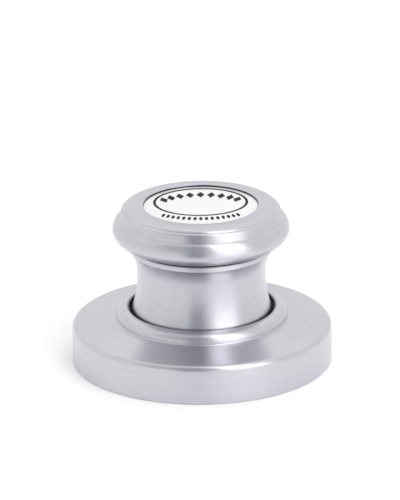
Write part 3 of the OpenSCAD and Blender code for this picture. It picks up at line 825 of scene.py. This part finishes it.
hex_seat = BARB_HEX_FOOT + 0.2
barbs = []
for i in range(BARB_COUNT):
    foot = FIRST_Z + i * BARB_STEP
    crest = foot + 0.7 * BARB_STEP
    barbs += [(BARB_ROOT_R, foot + 0.1 * BARB_STEP), (BARB_CREST_R, crest), (BARB_ROOT_R, crest)]
nipple_outline = (
    [(AIR_R, BARB_FOOT), (BARB_ROOT_R, BARB_FOOT), (BARB_CREST_R, NOSE_Z), (BARB_CREST_R, FIRST_Z)]
    + [(BARB_ROOT_R, FIRST_Z), *barbs, (BARB_ROOT_R, hex_seat)]
    + [(SPIGOT_R, hex_seat), (SPIGOT_R, BARB_TOP), (AIR_R, BARB_TOP)])
bm = bmesh.new()
hexagon_ring(bm, BARB_FLAT_R, AIR_R + 0.4, BARB_HEX_FOOT, BARB_HEX_FOOT + BARB_HEX_H, BARB_HEX_EDGE)
spin_outline(bm, rounded(nipple_outline, BARB_EDGE, 3), 96)
new_piece("barb", bm, "base", turned_brass, ["hose_barb"])

# %% [markdown]
# ## The return spring
# The spring is soft: it shortens as the button goes down. A Screw modifier could coil it.
# Here a wire circle is spun with a lift, closed at both ends and open between them. The two
# closed turns and half a wire at each end take up six wire radii, and the open turns share
# the rest.

# %% Return spring
SPRING_LOW, SPRING_HIGH = low("return_spring"), high("return_spring")
WIRE_R = 0.65
SPRING_R = radius("return_spring") - WIRE_R
OPEN_TURNS = 6
WIRE_SIDES = 16
COIL_STEPS = 48

spring_length = SPRING_HIGH - SPRING_LOW
closed_lift, open_lift = 2 * WIRE_R, (spring_length - 6 * WIRE_R) / OPEN_TURNS
bm = bmesh.new()
wire = bmesh.ops.create_circle(bm, cap_ends=True, radius=WIRE_R * MM, segments=WIRE_SIDES)["verts"]
bmesh.ops.rotate(bm, verts=wire, cent=(0, 0, 0), matrix=Matrix.Rotation(math.pi / 2, 3, "X"))
bmesh.ops.translate(bm, verts=wire, vec=(SPRING_R * MM, 0, (SPRING_LOW + WIRE_R) * MM))
end = list(bm.faces) + list(bm.edges) + list(bm.verts)
for turns, lift in ((1, closed_lift), (OPEN_TURNS, open_lift), (1, closed_lift)):
    made = bmesh.ops.spin(
        bm, geom=end, cent=(0, 0, 0), axis=(0, 0, 1), dvec=(0, 0, lift * MM / COIL_STEPS),
        angle=2 * math.pi * turns, steps=COIL_STEPS * turns, use_merge=False, use_duplicate=False)
    end = made["geom_last"]
spring = new_piece("coil_spring", bm, "base", spring_steel, ["return_spring"])
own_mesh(spring)

# %% [markdown]
# ## The bellows
# The rubber bellows is the air pump: the button folds it and pushes its air out at the barb.
# Its wall could be a single sheet with a Solidify modifier. The outline runs down the inside
# of the wall too, so that the piece is closed from the start, and the folds are a loop.

# %% Bellows
BELLOWS_TOP, BELLOWS_FOOT = high("bellows"), low("bellows")
FOLD_R, FOLD_DEPTH, BELLOWS_T, FOLDS = 10.5, 3.0, 1.0, 4
BELLOWS_EDGE = 0.5
FOLD_ROOT_R = FOLD_R - FOLD_DEPTH
CROWN_Z = BELLOWS_TOP - 2
fold_h = (CROWN_Z - SHOULDER_Z) / FOLDS


def folds(shift):
    """The zigzag of the bellows' wall, moved in by the wall's thickness for its lining."""
    line = []
    for i in range(FOLDS):
        z = SHOULDER_Z + i * fold_h
        line += [(FOLD_ROOT_R - shift, z), (FOLD_R - shift, z + fold_h / 2)]
    return line


bellows_outline = (
    [(END_BORE_R, BELLOWS_FOOT), (END_BORE_R, SHOULDER_Z)] + folds(0)
    + [(FOLD_ROOT_R, CROWN_Z), (FOLD_ROOT_R, BELLOWS_TOP), (0, BELLOWS_TOP), (0, CROWN_Z)]
    + [(FOLD_ROOT_R - BELLOWS_T, CROWN_Z)] + folds(BELLOWS_T)[::-1]
    + [(FOLD_ROOT_R - BELLOWS_T, BELLOWS_FOOT)])
bellows = turned(
    "air_bellows", rounded(bellows_outline, BELLOWS_EDGE), "base", black_rubber,
    ["bellows"], 128)
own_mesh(bellows)

# %% [markdown]
# ## The pieces that stay as they came
# The other pieces, such as the O-rings, the spring seats and the end cap, keep their CAD
# meshes. They could be modelled again too, but little of them is seen from outside. Each
# one gets the finish that its record names.

# %% Finishes of the pieces that stay as they came
finishes = {
    "satin_nickel": satin_nickel, "black_rubber": black_rubber, "black_nylon": black_nylon,
    "acetal": acetal, "white_enamel": white_enamel, "foam_pad": foam_pad, "stainless": stainless,
    "spring_steel": spring_steel, "brass": turned_brass, "red_fibre": red_fibre,
    "zinc_steel": zinc_steel}
for part in frame["record"]["subparts"]:
    mesh = frame["nodes"][part["node"]].data
    mesh.materials.clear()
    mesh.materials.append(finishes[part["material_slot"]])

# %% [markdown]
# ## The counter
# The part is shown clamped in a round sample of a white counter, 20 mm thick, with the
# standard hole. It is a stage and not a piece of the object. Its edge is greyer than its
# top, so that the slab can be seen against the white surroundings.

# %% Counter sample
COUNTER_R, COUNTER_T, HOLE_R = 98.0, 20.0, 17.5
COUNTER_EDGE = 1.0
TOP_TONE, EDGE_TONE = (0.90, 0.90, 0.90), (0.52, 0.52, 0.53)
TOP_GLOW = 0.17


def stage_white(name):
    """The counter: a white top that glows a little, and a greyer edge and underside."""
    material, tree, shader = new_material(name)
    height = object_point(tree)[2]
    top = span(tree, height, -COUNTER_EDGE * MM, -0.2 * COUNTER_EDGE * MM, 0, 1)
    clouds = noise(tree, object_vector(tree), 30, detail=3.0)
    mottle = span(tree, clouds, *NOISE_RANGE, 0.94, 1)
    tone = two_colours(tree, math_node(tree, "MULTIPLY", top, mottle), EDGE_TONE, TOP_TONE)
    tree.links.new(tone, shader.inputs["Base Color"])
    tree.links.new(math_node(tree, "MULTIPLY", top, TOP_GLOW), shader.inputs["Emission Strength"])
    shader.inputs["Emission Color"].default_value = (1, 1, 1, 1)
    shader.inputs["Roughness"].default_value = 0.9
    shader.inputs["Specular IOR Level"].default_value = 0.1
    return material


counter_outline = [(HOLE_R, -COUNTER_T), (COUNTER_R, -COUNTER_T), (COUNTER_R, 0), (HOLE_R, 0)]
bm = bmesh.new()
spin_outline(bm, rounded(counter_outline, COUNTER_EDGE), 192)
bmesh.ops.recalc_face_normals(bm, faces=bm.faces)
counter_mesh = bpy.data.meshes.new("counter")
bm.to_mesh(counter_mesh)
bm.free()
counter_mesh.materials.append(stage_white("counter_white"))
counter = bpy.data.objects.new("counter", counter_mesh)
bpy.context.scene.collection.objects.link(counter)
print("counter:", len(counter_mesh.polygons), "faces")

# %% [markdown]
# ## Light
# Metal shows its surroundings, so the light is made for its reflections. The object stands
# in a white tent. A tall soft box at the front right gives the bright band on the spool and
# the cap, and the gap in the tent where the camera looks in gives the narrow dark one. The
# tent's canopy is dimmer towards the front, and brighter high up at the back. Area lights
# could do this; the tent is drawn in the world's nodes, because then it has no edges of its
# own.

# %% Tent helpers
def smooth_span(tree, value, start, end):
    """Goes smoothly from 0 at the start to 1 at the end."""
    node = tree.nodes.new("ShaderNodeMapRange")
    node.interpolation_type = "SMOOTHSTEP"
    node.inputs["From Min"].default_value = start
    node.inputs["From Max"].default_value = end
    tree.links.new(value, node.inputs["Value"])
    return node.outputs["Result"]


def tent_band(tree, angle, centre, half_width, soft):
    """1 inside a band of azimuth, 0 outside, with soft sides. Angles in degrees."""
    away = math_node(tree, "ABSOLUTE", math_node(tree, "SUBTRACT", angle, math.radians(centre)))
    return smooth_span(tree, away, math.radians(half_width + soft), math.radians(half_width))


def tent_rise(tree, sine, start, end):
    """Rises smoothly from 0 to 1 between two angles, read from a direction's sine."""
    return smooth_span(tree, sine, math.sin(math.radians(start)), math.sin(math.radians(end)))


print("tent helpers ready")

# %% [markdown]
# ## The tent's brightness
# Each feature of the tent is a number from 0 to 1 that depends on the direction: a band of
# azimuth for the soft box and the gap, a rise with height for the rest. The brightness is a
# plain sum of them, each with its own strength. A picture of a studio could be used instead,
# but a sum of named features can be tuned one by one. The camera itself sees plain white.

# %% The white tent
TENT, SOFT_BOX, CAMERA_GAP, BACK_LIGHT, CANOPY = 0.94, 2.1, 0.62, 0.45, 0.42
BOX_FOOT, GAP_TOP = 0.3, 0.15
TENT_TONE, GAP_TONE = (1, 1, 1), (0.86, 0.88, 1.0)
BACKDROP = 1.1

world = bpy.data.worlds.new("tent")
world.use_nodes = True
bpy.context.scene.world = world
tree = world.node_tree
tree.nodes.clear()
direction = tree.nodes.new("ShaderNodeTexCoord")
split = tree.nodes.new("ShaderNodeSeparateXYZ")
tree.links.new(direction.outputs["Generated"], split.inputs[0])
right, back, up = split.outputs
front = math_node(tree, "MULTIPLY", back, -1)
azimuth = math_node(tree, "ARCTAN2", right, front)
bright = tent_band(tree, azimuth, centre=41, half_width=13, soft=16)
dark = tent_band(tree, azimuth, centre=-7, half_width=6, soft=13)
above = tent_rise(tree, up, 5, 36)
overhead = tent_rise(tree, up, 25, 60)
past_gap = tent_rise(tree, up, -5, 32)
behind = tent_rise(tree, back, 15, 60)
in_front = tent_rise(tree, front, 5, 40)
box_level = span(tree, above, 0, 1, BOX_FOOT * SOFT_BOX, SOFT_BOX)
gap_level = span(tree, past_gap, 0, 1, CAMERA_GAP, GAP_TOP * CAMERA_GAP)
box_light = math_node(tree, "MULTIPLY", bright, box_level)
back_light = math_node(tree, "MULTIPLY", math_node(tree, "MULTIPLY", overhead, behind), BACK_LIGHT)
gap_loss = math_node(tree, "MULTIPLY", dark, gap_level)
canopy_loss = math_node(tree, "MULTIPLY", math_node(tree, "MULTIPLY", above, in_front), CANOPY)
gains = math_node(tree, "ADD", math_node(tree, "ADD", box_light, back_light), TENT)
losses = math_node(tree, "ADD", gap_loss, canopy_loss)
level = math_node(tree, "SUBTRACT", gains, losses)

tent = tree.nodes.new("ShaderNodeBackground")
tree.links.new(two_colours(tree, dark, TENT_TONE, GAP_TONE), tent.inputs["Color"])
tree.links.new(level, tent.inputs["Strength"])
backdrop = tree.nodes.new("ShaderNodeBackground")
backdrop.inputs["Color"].default_value = (1, 1, 1, 1)
backdrop.inputs["Strength"].default_value = BACKDROP
rays = tree.nodes.new("ShaderNodeLightPath")
mix = tree.nodes.new("ShaderNodeMixShader")
output = tree.nodes.new("ShaderNodeOutputWorld")
tree.links.new(rays.outputs["Is Camera Ray"], mix.inputs[0])
tree.links.new(tent.outputs[0], mix.inputs[1])
tree.links.new(backdrop.outputs[0], mix.inputs[2])
tree.links.new(mix.outputs[0], output.inputs["Surface"])
print("the tent is lit")

# %% [markdown]
# ## Camera
# A long lens from a little over a metre away, looking down by 21 degrees. The object
# stands a little below the middle of the frame. A short lens from nearby could frame it
# too, but it would spread the round edges. The plain view transform keeps the whites white.

# %% Camera
VIEW_DISTANCE = 1.2
VIEW_ELEVATION = math.radians(21.2)
VIEW_ROLL = -0.64
FRAME_HEIGHT = 0.1044
SENSOR = 36.0
aim = Vector((-0.24 * MM, 0, 23.86 * MM))
camera_data = bpy.data.cameras.new("camera")
camera_data.sensor_width = SENSOR
camera_data.lens = SENSOR * VIEW_DISTANCE / FRAME_HEIGHT
camera = bpy.data.objects.new("camera", camera_data)
bpy.context.scene.collection.objects.link(camera)
view_from = Vector((0, -math.cos(VIEW_ELEVATION), math.sin(VIEW_ELEVATION)))
camera.location = VIEW_DISTANCE * view_from
turn = (aim - camera.location).to_track_quat("-Z", "Y")
roll = Quaternion((0, 0, 1), math.radians(VIEW_ROLL))
camera.rotation_euler = (turn @ roll).to_euler()
bpy.context.scene.camera = camera
bpy.context.scene.view_settings.view_transform = "Standard"
print(f"lens {camera_data.lens:.0f} mm")
